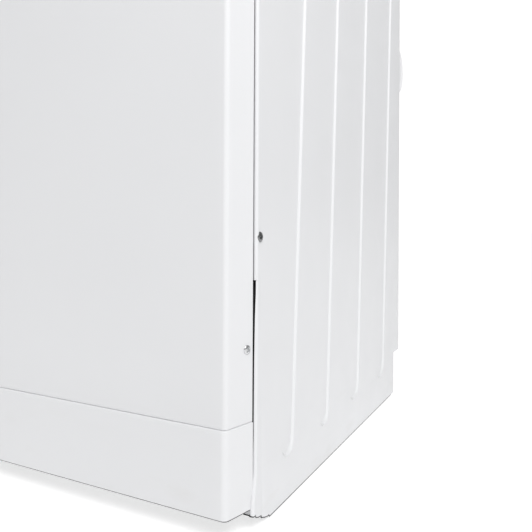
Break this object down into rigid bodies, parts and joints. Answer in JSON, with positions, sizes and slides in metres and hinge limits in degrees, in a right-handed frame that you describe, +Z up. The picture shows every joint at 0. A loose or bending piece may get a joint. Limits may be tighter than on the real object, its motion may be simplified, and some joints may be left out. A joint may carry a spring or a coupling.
{
  "type": "trash compactor",
  "caption": "Free-standing white household compactor: drawer front, plinth and grooved steel sides, with a screw-driven ram over a lift-out bin",
  "frame": {"origin": "centre of the overall footprint, on the floor under the feet", "axes": "+Z up, the front faces -Y, +X to the right of someone facing the back wall from the front"},
  "size_m": [0.386, 0.678, 0.864],
  "materials": {
    "white_enamel": "satin",
    "white_plastic": "satin",
    "bumper_plastic": "matte",
    "handle_plastic": "satin",
    "roller_plastic": "matte",
    "galvanised": "spangled",
    "rail_steel": "satin",
    "foot_rubber": "matte",
    "belt_rubber": "ribbed",
    "dark_plastic": "matte",
    "grey_plastic": "matte",
    "bin_plastic": "textured",
    "knob_plastic": "satin",
    "start_plastic": "satin",
    "stop_plastic": "satin",
    "lamp_lens": "glossy",
    "charcoal_foam": "porous",
    "motor_iron": "painted",
    "ram_iron": "painted",
    "pulley_iron": "machined",
    "screw_steel": "oiled",
    "dark_screw": "satin",
    "bright_screw": "polished",
    "ring_steel": "polished",
    "bronze": "machined"
  },
  "bodies": {
    "cabinet": {"side_panel_right": "white_enamel", "side_panel_left": "white_enamel", "top_panel": "white_enamel", "rear_panel": "galvanised", "rear_bumper_right": "bumper_plastic", "rear_bumper_left": "bumper_plastic", "kick_plate": "white_enamel", "base_tray": "galvanised", "front_crossmember": "galvanised", "foot_front_right": "foot_rubber", "foot_front_left": "foot_rubber", "foot_rear_right": "foot_rubber", "foot_rear_left": "foot_rubber", "control_panel": "white_plastic", "control_housing": "dark_plastic", "status_lamp": "lamp_lens", "fixed_rail_right": "rail_steel", "fixed_rail_left": "rail_steel", "thrust_beam": "galvanised", "drive_belt": "belt_rubber", "motor_bridge": "galvanised", "motor": "motor_iron", "top_limit_switch": "dark_plastic", "filter_housing": "grey_plastic", "charcoal_filter": "charcoal_foam", "fan_motor": "dark_plastic", "cord_inlet": "dark_plastic", "side_panel_screw_right": "dark_screw", "side_panel_screw_left": "dark_screw"},
    "drawer": {"drawer_front": "white_enamel", "drawer_back_plate": "galvanised", "handle": "handle_plastic", "drawer_pan": "galvanised", "moving_rail_right": "rail_steel", "moving_rail_left": "rail_steel", "bin": "bin_plastic", "bag_ring": "ring_steel", "front_panel_screw_right": "bright_screw", "front_panel_screw_left": "bright_screw"},
    "ram": {"ram_carrier": "galvanised", "drive_nut_right": "bronze", "drive_nut_left": "bronze", "ram_plate": "ram_iron", "ram_column": "galvanised"},
    "power_screw_right": {"power_screw_right": "screw_steel", "screw_pulley_right": "pulley_iron"},
    "power_screw_left": {"power_screw_left": "screw_steel", "screw_pulley_left": "pulley_iron"},
    "motor_rotor": {"motor_pulley": "pulley_iron"},
    "front_roller_right": {"front_roller_right": "roller_plastic"},
    "front_roller_left": {"front_roller_left": "roller_plastic"},
    "rear_roller_right": {"rear_roller_right": "roller_plastic"},
    "rear_roller_left": {"rear_roller_left": "roller_plastic"},
    "start_button": {"start_button": "start_plastic"},
    "stop_button": {"stop_button": "stop_plastic"},
    "key_knob": {"key_knob": "knob_plastic"},
    "fan_wheel": {"fan_wheel": "dark_plastic"},
    "release_paddle": {"release_paddle": "grey_plastic"}
  },
  "joints": [
    {"name": "drawer_slide", "type": "slide", "parent": "cabinet", "child": "drawer", "axis": [0, -1, 0], "range_m": [0, 0.4]},
    {"name": "ram_slide", "type": "slide", "parent": "cabinet", "child": "ram", "axis": [0, 0, 1], "range_m": [-0.2929, 0]},
    {"name": "screw_right_spin", "type": "hinge", "parent": "cabinet", "child": "power_screw_right", "pos_m": [0.163, -0.022, 0.4], "axis": [0, 0, 1], "range_deg": [-2, 6593]},
    {"name": "screw_left_spin", "type": "hinge", "parent": "cabinet", "child": "power_screw_left", "pos_m": [-0.163, -0.022, 0.4], "axis": [0, 0, 1], "range_deg": [-2, 6593]},
    {"name": "motor_spin", "type": "hinge", "parent": "cabinet", "child": "motor_rotor", "pos_m": [0, 0.235, 0.09], "axis": [0, 0, 1], "range_deg": [-2, 10254]},
    {"name": "front_roller_right_spin", "type": "hinge", "parent": "cabinet", "child": "front_roller_right", "pos_m": [0.145, -0.219, 0.1422], "axis": [1, 0, 0], "range_deg": [-2, 1912]},
    {"name": "front_roller_left_spin", "type": "hinge", "parent": "cabinet", "child": "front_roller_left", "pos_m": [-0.145, -0.219, 0.1422], "axis": [1, 0, 0], "range_deg": [-2, 1912]},
    {"name": "rear_roller_right_spin", "type": "hinge", "parent": "drawer", "child": "rear_roller_right", "pos_m": [0.145, 0.215, 0.1422], "axis": [1, 0, 0], "range_deg": [-2, 1912]},
    {"name": "rear_roller_left_spin", "type": "hinge", "parent": "drawer", "child": "rear_roller_left", "pos_m": [-0.145, 0.215, 0.1422], "axis": [1, 0, 0], "range_deg": [-2, 1912]},
    {"name": "start_button_press", "type": "slide", "parent": "cabinet", "child": "start_button", "axis": [0, 1, 0], "range_m": [0, 0.003], "stiffness_N_per_m": 400},
    {"name": "stop_button_press", "type": "slide", "parent": "cabinet", "child": "stop_button", "axis": [0, 1, 0], "range_m": [0, 0.003], "stiffness_N_per_m": 400},
    {"name": "key_knob_turn", "type": "hinge", "parent": "cabinet", "child": "key_knob", "pos_m": [-0.095, -0.2955, 0.8054], "axis": [0, -1, 0], "range_deg": [-90, 0]},
    {"name": "fan_wheel_spin", "type": "hinge", "parent": "cabinet", "child": "fan_wheel", "pos_m": [0.059, 0.224, 0.699], "axis": [0, 1, 0], "continuous": true},
    {"name": "release_paddle_swing", "type": "hinge", "parent": "drawer", "child": "release_paddle", "pos_m": [0, -0.3028, 0.7504], "axis": [-1, 0, 0], "range_deg": [0, 14], "stiffness_Nm_per_rad": 0.3, "springref_deg": -5.73}
  ],
  "couplings": [
    {"joint": "screw_right_spin", "follows": "ram_slide", "rad_per_m": -392.7},
    {"joint": "screw_left_spin", "follows": "ram_slide", "rad_per_m": -392.7},
    {"joint": "motor_spin", "follows": "ram_slide", "rad_per_m": -610.87},
    {"joint": "front_roller_right_spin", "follows": "drawer_slide", "rad_per_m": 83.333},
    {"joint": "front_roller_left_spin", "follows": "drawer_slide", "rad_per_m": 83.333},
    {"joint": "rear_roller_right_spin", "follows": "drawer_slide", "rad_per_m": 83.333},
    {"joint": "rear_roller_left_spin", "follows": "drawer_slide", "rad_per_m": 83.333}
  ]
}
